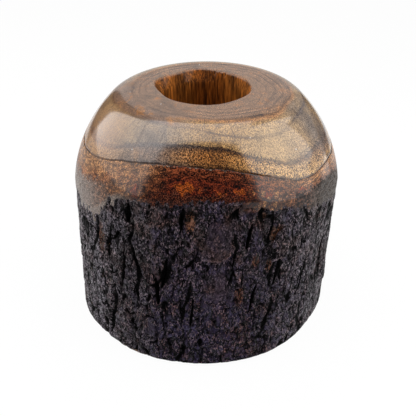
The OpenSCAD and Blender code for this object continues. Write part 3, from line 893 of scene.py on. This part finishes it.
def wood_finish(c):
    """Concentric growth rings over fine fleck and radial streaks, browner heartwood, and long
    streaks down the socket's wall, all under a clear gloss."""
    sap, gold, dark, amber = c.sapwood[:], c.golden[:], c.ring[:], c.amber[:]
    core, old, bore = c.heartwood[:], c.heart_ring[:], c.socket[:]

    def paint(f):
        here, spoke = f.place(), f.radial(32.0, 0.9)
        age, heart, left, front = map(f.number, ("ring", "heart", "left", "front"))
        grey, cream, warm, inside = map(f.number, ("grey", "cream", "warm", "socket"))
        side = 1 - front
        ring = (age + (f.noise(here, 0.09, 3) - 0.5) * (0.02 + heart * 0.05)
                + (f.noise(here, 0.7, 3, 0.65) - 0.5) * 0.012)
        fleck = 0.5 + (f.noise(spoke, 1.75, 2, 0.8) - 0.5) * (1 + front * 0.4)
        dust = f.noise(here, 2.2, 1, 0.5)
        cloud = f.noise(here, 0.075, 4, 0.6, 1.2)
        fade = f.between(f.noise(here, 0.05, 2, 0.5, 0.6), 0.4, 0.6)

        # The sapwood's rings, plainer in places, paler between the dark ring and the bark.
        pale = f.ramp(
            ring, (0.0, gold, 0.35), (0.012, gold, 0.5), (0.028, gold, 0.85), (0.037, gold, 0.65),
            (0.044, gold, 0.95), (0.058, gold, 0.9), (0.07, gold, 0.7), (0.083, gold, 0.45),
            (0.09, dark, 0.7), (0.0995, dark, 0.35), (0.103, dark, 0.6), (0.108, sap, 0.75),
            (0.125, sap, 0.95), (0.15, sap), (0.16, sap, 0.85), (0.175, sap), (0.198, sap, 0.86),
            (0.2065, dark, 1.5), (0.2125, dark, 1.3), (0.221, sap, 0.85), (0.25, sap, 1.1),
            (0.275, sap, 1.05), (0.3, sap, 0.98), (0.322, amber), (0.34, amber, 0.75), (0.35, dark),
            (0.364, amber, 0.7))
        plain_sap = f.ramp(ring, (0.1, gold, 0.9), (0.15, sap), (0.27, sap, 0.85), (0.33, gold, 0.95),
                           (0.36, amber, 0.7))
        pale = f.mix(fade * f.between(ring, 0.12, 0.14) * 0.55, pale, plain_sap)
        light = f.band(ring, 0.004, 0.012, 0.07, 0.085) * side * (1 - grey)
        pale = f.mix(light * 0.8, pale, shade(sap, 1.35))
        pale = f.mix(f.band(ring, 0.076, 0.086, 0.104, 0.114) * side * 0.3, pale, shade(gold, 0.9))

        # The heartwood's rings, blotched by a stirred cloud.
        brown = f.ramp(
            ring, (0.2, core), (0.206, dark), (0.216, core, 0.85), (0.26, core, 1.15), (0.3, core, 0.9),
            (0.33, core), (0.347, old, 0.6), (0.362, old, 0.4), (0.37, core, 1.1), (0.38, core, 0.8),
            (0.4, core, 1.4), (0.422, old, 0.5), (0.43, core, 1.4), (0.47, core, 0.85), (0.478, old, 0.5),
            (0.488, core, 1.3), (0.54, core), (0.548, old, 0.7), (0.556, core, 1.2), (0.6, core, 0.85),
            (0.64, core, 1.2), (0.65, old, 1.2), (0.66, core))
        blend = f.ramp(f.noise(f.stirred(here, 0.06, 9.0), 0.16, 4, 0.65, 0.8),
                       (0.3, core, 0.36), (0.42, core, 0.75), (0.54, core), (0.66, gold, 1.25))
        blotched = 0.12 + fade * 0.5 + left * 0.38 - f.band(ring, 0.33, 0.36, 0.4, 0.43) * 0.15
        brown = f.mix(blotched, brown, blend)
        wood = f.mix(heart, pale, brown)

        # Grey patches, one of them a painted grey haze of reflected light at the left, dull patches, rays, a
        # warm cast at the back, and a painted bluish sheen of reflected light at the left and the right.
        wood = f.mix(grey * (0.55 + f.between(cloud, 0.4, 0.6) * 0.35), wood, shade(c.greyed[:], 1.15))
        wood = f.tinted(f.between(cloud, 0.46, 0.66) * 0.6, wood, (0.5, 0.47, 0.47))
        ray = f.between(f.noise(f.radial(56.0, 0.07), 1.1, 2, 0.6), 0.44, 0.34) * f.between(cloud, 0.3, 0.55)
        wood = f.mix(ray * (1 - heart * 0.4) * 0.5, wood, shade(dark, 1.2))
        wood = f.mix(warm * f.between(ring, 0.3, 0.1) * 0.6, wood, f.times(amber, (0.7, 0.6, 0.45)))
        # A painted bluish sheen of reflected light on the outer rings at the left and the sides.
        for share, strength in ((left, 0.6), (side * (1 - left), 0.45)):
            wood = f.tinted(share * f.between(ring, 0.36, 0.3) * strength, wood, (0.93, 1.12, 1.6))
        wood = f.mix(cream * 0.28, wood, c.cream[:])

        # Dark and light fleck, dust and pale specks, and the dark seam along the bark.
        much = (0.66 + f.between(ring, 0.13, 0.09) * 0.6 + heart * 0.14) * (1 - left * 0.5 - cream * 0.3)
        wood = f.tinted(f.between(fleck, 0.495, 0.43) * much, wood, (0.08, 0.04, 0.025))
        wood = f.tinted(f.between(fleck, 0.515, 0.58) * much, wood, (2.3, 2.25, 2.0))
        wood = f.mix(f.between(dust, 0.46, 0.34) * much * (0.85 - cream * 0.5), wood, shade(dark, 0.4))
        speck = f.between(f.cells(here, 0.16), 0.055, 0.03)
        wood = f.mix(speck * f.between(cloud, 0.42, 0.55), wood, (0.75, 0.72, 0.68))
        seam = f.between(age + (f.noise(here, 0.4, 3, 0.7) - 0.5) * 0.05, 0.012, 0.002)
        gapped = seam * f.between(f.noise(here, 0.5, 2), 0.32, 0.56) * (0.95 - side * 0.5)
        wood = f.mix(gapped, wood, shade(dark, 0.35))

        # The socket's wall: long streaks, with painted shade across its middle, darker than at the left and
        # the right.
        grain = (f.noise(f.place(1, 1, 0.06), 1.5, 4, 0.7, 0.3) * 0.7
                 + f.noise(f.place(1, 1, 0.1), 0.22, 2) * 0.3)
        wall = f.ramp(grain, (0.36, bore, 0.08), (0.45, bore, 0.38), (0.52, bore, 0.8), (0.64, bore, 2.0))
        across = f.node("SeparateXYZ", {}, {0: here})
        wall = f.tinted(f.band(across, -9, -3, 6, 11) * 0.6, wall, (0.5, 0.36, 0.25))
        height = fleck * 0.5 + f.noise(here, 0.5, 2) * 0.7 + grain * inside * 2.5
        gloss = (1 - inside * 0.85 - grey * side * (1 - left) * 0.35
                 - f.between(ring, 0.12, 0.0) * (0.2 + left * 0.2))
        return {"Base Color": f.mix(inside, wood, wall), "Roughness": inside * 0.2 + 0.38,
                "Coat Weight": gloss, "Normal": f.bumped(height, 0.00004)}
    return lacquered("wood_lacquered", paint, 0.13, 1.62, 0.1)


def turned_bark(f, c):
    """The bark where it is turned smooth: granules and fibres that run around the log, dark red
    brown at the front and tan at the sides, with torn orange and red patches and black pits
    towards the rough outside. Returns its colour, its granules, its cloud, its pits and its lumps."""
    here, side_bark, ember = f.place(), c.side_bark[:], c.ember[:]
    out, front, lumpy = map(f.number, ("out", "front", "lump"))
    grit = f.noise(here, 2.0, 2, 0.8)
    lift = f.node("CombineXYZ", {}, {"Z": out * 9})
    fibre = f.noise(f.vector("ADD", f.radial(14.0, 0.02), lift), 1.0, 4, 0.7, 0.6)
    cloud = f.noise(here, 0.2, 3, 0.6, 0.8)
    torn = f.noise(f.stirred(here, 0.3, 3.0), 0.5, 3, 0.7)
    base = f.mix(front * (0.94 + f.between(out, 0.15, 0.5) * 0.06), side_bark, c.inner_bark[:])
    speckle = f.ramp(grit * 0.6 + fibre * 0.4, (0.41, (0.015, 0.01, 0.01)), (0.462, (0.2, 0.16, 0.14)),
                     (0.5, (0.85, 0.8, 0.75)), (0.54, (2.3, 2.4, 2.2)), (0.6, (5.4, 5.6, 5.0)))
    speckle = f.mix((1 - front) * 0.45, speckle, shade(WHITE, 0.9))
    colour = f.times(base, speckle)
    worn = f.between(out + (cloud - 0.5) * 1.4, 0.25, 0.7) * (1 - lumpy * 0.35)
    colour = f.tinted(worn * 0.75, colour, (0.45, 0.26, 0.22))
    cells = f.cells(f.stirred(f.place(1, 1, 0.8), 0.5, 2.2), 0.34, "DISTANCE_TO_EDGE")
    lump = lumpy * f.between(out + (cloud - 0.5) * 1.2, 0.5, 0.72)
    tan = f.times(shade(side_bark, 0.95), speckle)
    colour = f.mix(lump * f.between(cells, 0.08, 0.3) * 0.75, colour, tan)
    colour = f.mix(lump * f.between(cells, 0.12, 0.02) * 0.85, colour, (0.02, 0.01, 0.008))
    warm = f.number("ember") + (torn - 0.5) * 0.9
    red = f.ramp(grit, (0.4, (0.012, 0.003, 0.002)), (0.52, (0.12, 0.016, 0.004)), (0.62, (0.3, 0.05, 0.012)))
    orange = f.ramp(grit, (0.42, ember, 0.06), (0.5, ember, 0.65), (0.58, ember, 1.4), (0.66, ember, 2.2))
    colour = f.mix(f.between(warm, 0.2, 0.36), colour, red)
    colour = f.mix(f.between(warm, 0.46, 0.56), colour, orange)
    pits = (f.between(torn + f.between(out, 0.8, 1.0) * front * 0.15, 0.51, 0.56)
            * f.between(out + (cloud - 0.5) * 0.8, 0.5, 0.78) * f.between(warm, 0.5, 0.4) * (1 - lumpy * 0.8))
    colour = f.mix(pits * 0.92, colour, (0.006, 0.003, 0.003))
    char = f.between(out + (torn - 0.5) * 1.3, 0.72, 0.86) * f.number("char")
    burnt = f.ramp(grit, (0.42, (0.002, 0.001, 0.001)), (0.5, (0.012, 0.003, 0.002)),
                   (0.55, (0.06, 0.012, 0.006)), (0.64, (0.2, 0.06, 0.03)))
    colour = f.mix(char * 0.9, colour, burnt)
    seam = f.between(out + (f.noise(here, 0.4, 3, 0.7) - 0.5) * 0.3, 0.06, 0.0)
    glint = f.band(out, 0.02, 0.05, 0.06, 0.1) * f.between(f.noise(here, 0.8, 3), 0.56, 0.66) * front
    colour = f.mix(seam * 0.85, colour, (0.012, 0.006, 0.005))
    colour = f.mix(glint * 0.6, colour, (0.4, 0.3, 0.22))
    return colour, grit, cloud, pits, lump * f.between(cells, 0.0, 0.3)


def inner_bark_finish(c):
    """The turned bark under a clear gloss."""
    def paint(f):
        colour, grit, cloud, pits, lump = turned_bark(f, c)
        return {"Base Color": colour, "Roughness": 0.4 + grit * 0.15,
                "Coat Weight": 0.45 + f.number("front") * 0.3 - pits * 0.3,
                "Normal": f.bumped(grit + cloud * 0.8 + lump * 3, 0.0001)}
    return lacquered("inner_bark_lacquered", paint, 0.15, 1.6, 0.05)


def outer_bark_finish(c, name="outer_bark_sealed"):
    """Crumpled flakes of sealed bark, nearly black at the front and grey at the sides, where the grey
    is a painted sheen of reflected light. The flakes are terraces of a stirred cloud: each step has
    a black foot of painted shadow and a thin pale rim of painted highlight. A finer cloud breaks
    them into crumbs around black pits, and brown and ochre stains lie between. Low places are
    painted dark as shade and crests lighter. Where the sanding cut it smooth the bark turns to a
    granular grey, lightened at the left by a painted sheen of reflected light."""
    dusky, stained, sanded = c.ridge[:], c.rust[:], c.sanded[:]

    def paint(f):
        here, long = f.place(), f.place(1, 1, 0.75)
        relief, smooth, front, left = map(f.number, ("relief", "smooth", "front", "left"))
        out, rust = map(f.number, ("out", "rust"))
        ragged = (f.noise(f.place(1, 1, 0.35), 0.55, 3, 0.65) - 0.5) * (1.6 + left * 1.2)
        turned = f.between(f.number("turned") + ragged, 0.3, 0.7)
        rough = (1 - turned) * (1 - smooth * 0.7)
        grit, flake = f.noise(long, 1.5, 2, 0.8), f.noise(long, 0.45, 3, 0.6, 0.6)
        cloud, whole = f.noise(here, 0.1, 3, 0.6), f.noise(here, 0.35, 2, 0.6)
        crumb = f.noise(f.stirred(long, 0.7, 1.6), 0.75, 2, 0.6)
        level = f.noise(f.stirred(f.place(1, 1, 0.6), 0.3, 3.0), 0.3, 2, 0.5) * 3.4
        step = f.math("FRACT", level)
        calm = f.between(f.noise(f.place(1, 1, 0.7), 0.13, 3, 0.6, 0.8), 0.44, 0.56) * (0.35 + front * 0.5)

        # Coarse and fine cracks along the middle of a cloud, painted black as shade, with a pale rim of
        # painted highlight beside each.
        coarse = (f.noise(f.stirred(f.place(1, 1, 0.45), 0.45, 2.4), 0.3, 3, 0.6) - 0.5) * 2.6
        fine = (f.noise(f.stirred(f.place(1, 1, 0.5), 0.8, 1.6), 0.45, 2, 0.55) - 0.5) * 2.6
        crack = f.between(f.math("ABSOLUTE", coarse), 0.09, 0.04) * f.between(whole, 0.37, 0.42)
        split = (f.between(f.math("ABSOLUTE", fine), 0.11, 0.05) * f.between(whole, 0.6, 0.54)
                 * (1 - calm * 0.5))
        foot = f.math("MAXIMUM", f.between(step, 0.84, 0.98), f.math("MAXIMUM", crack, split))
        rim = (f.band(step, 0.0, 0.03, 0.05, 0.15)
               + f.band(coarse, 0.09, 0.12, 0.15, 0.2) * f.between(whole, 0.44, 0.5)
               + f.band(fine, 0.1, 0.13, 0.18, 0.23) * f.between(whole, 0.54, 0.48) * 0.75)

        # The flakes' colour by speckle, with painted shade by height: near black low in the furrows and
        # slots, lighter on the crests.
        # ridge: a painted sheen of reflected light lightens the bark to grey at the sides, most at the left
        ridge = f.mix(front, f.times(f.mix(left, (1.6, 1.97, 1.8), (2.2, 2.75, 2.6)), dusky), dusky)
        height_shade = f.ramp(relief + (flake - 0.5) * (0.3 - front * 0.12) + front * 0.04, (0.45, WHITE, 0.01),
                      (0.6, (0.3, 0.29, 0.29)), (0.72, WHITE, 0.9), (0.95, WHITE, 1.5))
        speckle = f.ramp(grit * 0.45 + crumb * 0.55, (0.38, (0.28, 0.27, 0.27)), (0.45, (0.64, 0.62, 0.62)),
                         (0.5, (0.95, 0.93, 0.93)), (0.55, (1.28, 1.32, 1.3)), (0.63, (1.8, 1.92, 1.88)))
        quiet = f.mix(f.between(flake, 0.42, 0.6), (0.72, 0.68, 0.7), (1.25, 1.3, 1.27))
        speckle = f.mix(calm * 0.75, speckle, quiet)
        colour = f.times(f.times(ridge, height_shade), speckle)

        # Brown and ochre stains, a blue cast low on the front, pale rims of painted highlight, and black feet
        # of painted shadow.
        stain = f.between(cloud + f.number("plate") * 0.12, 0.52, 0.74) * (0.38 + front * 0.17)
        stain = f.math("MAXIMUM", stain, f.between(rust * (crumb + 0.4), 0.35, 0.7))
        ochre = f.mix(f.between(rust, 0.5, 0.9), shade(stained, 0.6), shade(stained, 1.7))
        colour = f.mix(stain * f.between(relief, 0.35, 0.75) * 0.75, colour, f.times(ochre, speckle))
        low = f.between(f.node("SeparateXYZ", {}, {0: here}, out=2), 66, 30)
        blue = front * f.math("MAXIMUM", f.between(cloud, 0.58, 0.4) * 0.8, low)
        colour = f.tinted(blue * (0.85 - smooth * 0.5), colour, (0.47, 0.52, 1.12))
        colour = f.tinted(smooth * 0.5, colour, (0.6, 0.48, 0.48))
        # edge: the colour of the painted highlight on the flakes' rims and the scales' lips.
        edge = f.mix(stain, f.times(ridge, shade(WHITE, 5)), shade(stained, 2.6))
        rim = rim * f.between(grit, 0.38, 0.5) * f.between(relief, 0.5, 0.7) * rough
        colour = f.mix(rim * 0.85, colour, edge)
        # A painted highlight along the lower lip of each loose scale.
        colour = f.mix(f.number("lip") * f.between(grit, 0.42, 0.56) * 0.85, colour, edge)
        colour = f.mix(foot * rough * 0.97, colour, shade(c.fissure[:], 0.05))

        # Where it is turned smooth: the inner bark's look, and granular grey at the sides, both lightened at
        # the left by a painted sheen of reflected light.
        band, sand, _, pits, lump = turned_bark(f, c)
        band = f.tinted(left * 0.5, band, shade(WHITE, 1.5))
        grey = (f.between(out + (flake - 0.5) * 0.7, 0.6, 0.85) * f.between(front, 0.5, 0.2)
                * (1 - f.number("tan")))
        grain = f.ramp(sand, (0.38, WHITE, 0.05), (0.46, (0.45, 0.44, 0.43)), (0.52, WHITE),
                       (0.6, (2.4, 2.4, 2.3)))
        grain = f.mix(left * 0.45, grain, shade(WHITE, 0.95))
        # The sanded grey, lighter at the left as a painted sheen of reflected light.
        worn = f.times(f.mix(left, sanded, shade(sanded, 3.9)), grain)
        colour = f.mix(turned * f.between(relief, 0.0, 0.35), colour, f.mix(grey, band, worn))
        height = ((f.between(step, 0.82, 1.0) - step + level) * 0.6 - crack * 0.8 - split * 0.4
                  + crumb * (1.1 - calm * 0.8) + grit * 0.2 + flake + lump * 2)
        shine = f.between(crumb, 0.49, 0.58) * f.between(relief, 0.4, 0.75) * rough
        charred = f.between(out, 0.82, 0.96) * f.number("char")
        gloss = turned * (0.45 + front * 0.3 - pits * 0.3 - grey * (1 - left) * 0.25) * (1 - charred * 0.9)
        return {"Base Color": colour, "Roughness": 0.7 - shine * 0.3,
                "Coat Weight": gloss + shine * (0.3 - front * 0.14),
                "Normal": f.bumped(height, 0.0001 + rough * 0.0011)}
    return lacquered(name, paint, 0.16, 1.6, 0.05)


# ---------------------------------------------------------------- operators

class HolderOperator:
    """What every step shares: the sizes and the colours."""

    bl_options = {"REGISTER", "UNDO"}

    def given(self, context):
        """The log that the scene's sizes describe, and the scene's colours."""
        return Log(context.scene.log_sizes), context.scene.log_colours


class LOG_OT_wood(HolderOperator, bpy.types.Operator):
    """Build the turned wood with its drilled socket"""

    bl_idname = "log_holder.wood"
    bl_label = "Turned wood"

    def execute(self, context):
        log, c = self.given(context)
        write_mesh("turned_wood", *wood_surface(log), wood_finish(c), "wood", ["wood_body"])
        return {"FINISHED"}


class LOG_OT_inner_bark(HolderOperator, bpy.types.Operator):
    """Build the ring of inner bark around the wood"""

    bl_idname = "log_holder.inner_bark"
    bl_label = "Inner bark"

    def execute(self, context):
        log, c = self.given(context)
        write_mesh("turned_inner_bark", *inner_bark_surface(log), inner_bark_finish(c),
                   "inner_bark", ["inner_bark"])
        return {"FINISHED"}


class LOG_OT_outer_bark(HolderOperator, bpy.types.Operator):
    """Build the rough outer bark"""

    bl_idname = "log_holder.outer_bark"
    bl_label = "Outer bark"

    def execute(self, context):
        log, c = self.given(context)
        write_mesh("rough_outer_bark", *outer_bark_surface(log), outer_bark_finish(c),
                   "outer_bark", ["outer_bark"])
        return {"FINISHED"}


class LOG_OT_scales(HolderOperator, bpy.types.Operator):
    """Build the loose scales that lie on the bark"""

    bl_idname = "log_holder.scales"
    bl_label = "Loose bark scales"

    def execute(self, context):
        log, c = self.given(context)
        finish = outer_bark_finish(c, "bark_scale_sealed")
        for scale in SCALES:
            write_mesh("loose_" + scale[0], *scale_surface(log, scale), finish, "bark_scale", [scale[0]])
        return {"FINISHED"}


# The light tent's cloths as reflections show them: each one's corner in millimetres, its edge
# along the floor, its height and the level of its grey.
TENT = [
    ("tent_front", (-440, -350, 1), (740, 0), 724, 0.02),
    ("tent_back_left", (-425, 353, 1), (205, 107), 779, 0.06),
    ("tent_corner", (300, 72, 60), (-5, 112), 225, 0.7),
    ("tent_corner_low", (300, 0, 1), (0, 72), 122, 0.8),
    ("tent_back_right", (310, 180, 1), (-90, 280), 110, 0.06),
    ("tent_back_right_middle", (310, 180, 111), (-90, 280), 209, 0.35),
    ("tent_back_right_upper", (310, 180, 321), (-90, 280), 459, 0.6),
    ("tent_back", (-220, 460, 1), (440, 0), 779, 0.6),
    ("tent_skirt_left", (-415, -307, 1), (0, 660), 119, 0.7),
]
# The three lamps: the middle of the face, where it faces, its width and its height.
LAMPS = [
    ("softbox_left", (-420, 23, 450), (1, 0, 0), 660, 660),
    ("softbox_right", (305, -80, 390), (-1, 0, 0), 520, 780),
    ("softbox_top", (-60, 0, 780), (0, 0, -1), 725, 900),
]
LAMP_RADIANCE = 1.5
# The world's own light, and the share that lifts the backdrop and the floor to white where shown.
WORLD_LIGHT, BACKDROP_LIFT, FLOOR_LIFT = 0.4, 0.6, 0.95
# The camera: its place in metres, its tilt below the horizon, its lens and sensor in millimetres,
# and the shift of its picture as a share of the picture's width.
CAMERA_AT, CAMERA_TILT = (0.0, -0.2802, 0.2253), 30.95
LENS, SENSOR, CAMERA_SHIFT = 56.25, 36.0, (0.0039, -0.0276)


def card(name, corner, along, up, material, seen_by):
    """A flat four-sided card from a corner, an edge along and an edge up, seen only by some rays."""
    corner, along, up = (np.array(v) / MM for v in (corner, along, up))
    mesh = bpy.data.meshes.new(name)
    mesh.from_pydata([corner, corner + along, corner + along + up, corner + up], [], [(0, 1, 2, 3)])
    mesh.materials.append(material)
    panel = bpy.data.objects.new(name, mesh)
    bpy.context.scene.collection.objects.link(panel)
    for ray in ("camera", "diffuse", "glossy", "transmission", "shadow", "volume_scatter"):
        setattr(panel, "visible_" + ray, ray in seen_by)


def softbox(name, middle, facing, width, tall):
    """A rectangular lamp whose face gives off an even light."""
    lamp = bpy.data.lights.new(name, "AREA")
    lamp.shape, lamp.size, lamp.size_y = "RECTANGLE", width / MM, tall / MM
    lamp.energy = LAMP_RADIANCE * math.pi * lamp.size * lamp.size_y
    holder = bpy.data.objects.new(name, lamp)
    bpy.context.scene.collection.objects.link(holder)
    z = -np.array(facing, float)
    x = np.cross((0, 0, 1) if abs(z[2]) < 0.9 else (0, 1, 0), z)
    x /= np.linalg.norm(x)
    y = np.cross(z, x)
    for row in range(3):
        for column, axis in enumerate((x, y, z)):
            holder.matrix_world[row][column] = axis[row]
        holder.matrix_world[row][3] = middle[row] / MM
    holder.visible_camera = False


def plain(name, rgb, glow):
    """A flat card's material. Where it is seen by the camera or in a reflection it is lifted to
    white by the given share, and its own shading keeps the shadow."""
    material, f = new_material(name)
    surface = f.node("BsdfDiffuse", {}, {"Color": (*rgb, 1)})
    white = f.node("Emission", {}, {"Color": (*WHITE, 1), "Strength": 1.0})
    surface = f.node("MixShader", {}, {0: f.shown() * glow, 1: surface, 2: white})
    f.node("OutputMaterial", {}, {"Surface": surface})
    return material


def glowing(name, level):
    """A light tent's cloth as a reflection shows it: an even grey glow."""
    material, f = new_material(name)
    glow = f.node("Emission", {}, {"Color": (*WHITE, 1), "Strength": level})
    f.node("OutputMaterial", {}, {"Surface": glow})
    return material


class LOG_OT_stage(bpy.types.Operator):
    """Set the floor, the soft light tent, the world and the camera"""

    bl_idname = "log_holder.stage"
    bl_label = "Floor, light and camera"
    bl_options = {"REGISTER", "UNDO"}

    def execute(self, context):
        scene = context.scene
        card("floor", (-2500, -2500, -0.05), (5000, 0, 0), (0, 5000, 0),
             plain("floor_white", (0.95, 0.95, 0.95), FLOOR_LIFT),
             {"camera", "diffuse", "glossy", "transmission", "shadow"})
        for name, corner, along, tall, level in TENT:
            card(name, corner, (*along, 0), (0, 0, tall), glowing(name + "_cloth", level), {"glossy"})
        for lamp in LAMPS:
            softbox(*lamp)
        world = bpy.data.worlds.new("studio")
        world.use_nodes = True
        f = Finish(world.node_tree)
        level = f.shown() * BACKDROP_LIFT + WORLD_LIGHT
        sky = f.node("Background", {}, {"Color": (*WHITE, 1), "Strength": level})
        f.node("OutputWorld", {}, {"Surface": sky})
        scene.world = world
        eye = bpy.data.cameras.new("camera")
        eye.sensor_width, eye.lens, eye.clip_start = SENSOR, LENS, 0.01
        eye.shift_x, eye.shift_y = CAMERA_SHIFT
        camera = bpy.data.objects.new("camera", eye)
        scene.collection.objects.link(camera)
        camera.location = CAMERA_AT
        camera.rotation_euler = (math.radians(90 - CAMERA_TILT), 0, 0)
        scene.camera = camera
        scene.view_settings.view_transform = "Standard"
        return {"FINISHED"}


class LOG_PT_panel(bpy.types.Panel):
    """Lists the sizes, the colours and the steps"""

    bl_idname = "LOG_PT_panel"
    bl_label = "Log Holder"
    bl_space_type = "VIEW_3D"
    bl_region_type = "UI"
    bl_category = "Log Holder"

    def draw(self, context):
        for step in STEPS:
            self.layout.operator(step.bl_idname)
        for group, values in ((LogSizes, context.scene.log_sizes), (LogColours, context.scene.log_colours)):
            for name in group.__annotations__:
                self.layout.prop(values, name)


STEPS = (LOG_OT_wood, LOG_OT_inner_bark, LOG_OT_outer_bark, LOG_OT_scales, LOG_OT_stage)
CLASSES = (LogSizes, LogColours, *STEPS, LOG_PT_panel)


def register():
    """Adds the sizes, the colours, the steps and the panel to Blender."""
    for cls in CLASSES:
        bpy.utils.register_class(cls)
    bpy.types.Scene.log_sizes = bpy.props.PointerProperty(type=LogSizes)
    bpy.types.Scene.log_colours = bpy.props.PointerProperty(type=LogColours)


def unregister():
    """Takes them out again."""
    del bpy.types.Scene.log_sizes, bpy.types.Scene.log_colours
    for cls in reversed(CLASSES):
        bpy.utils.unregister_class(cls)


def main():
    """Registers the add-on and runs every step in order."""
    register()
    for step in STEPS:
        group, name = step.bl_idname.split(".")
        getattr(getattr(bpy.ops, group), name)()


if __name__ == "__main__":
    main()
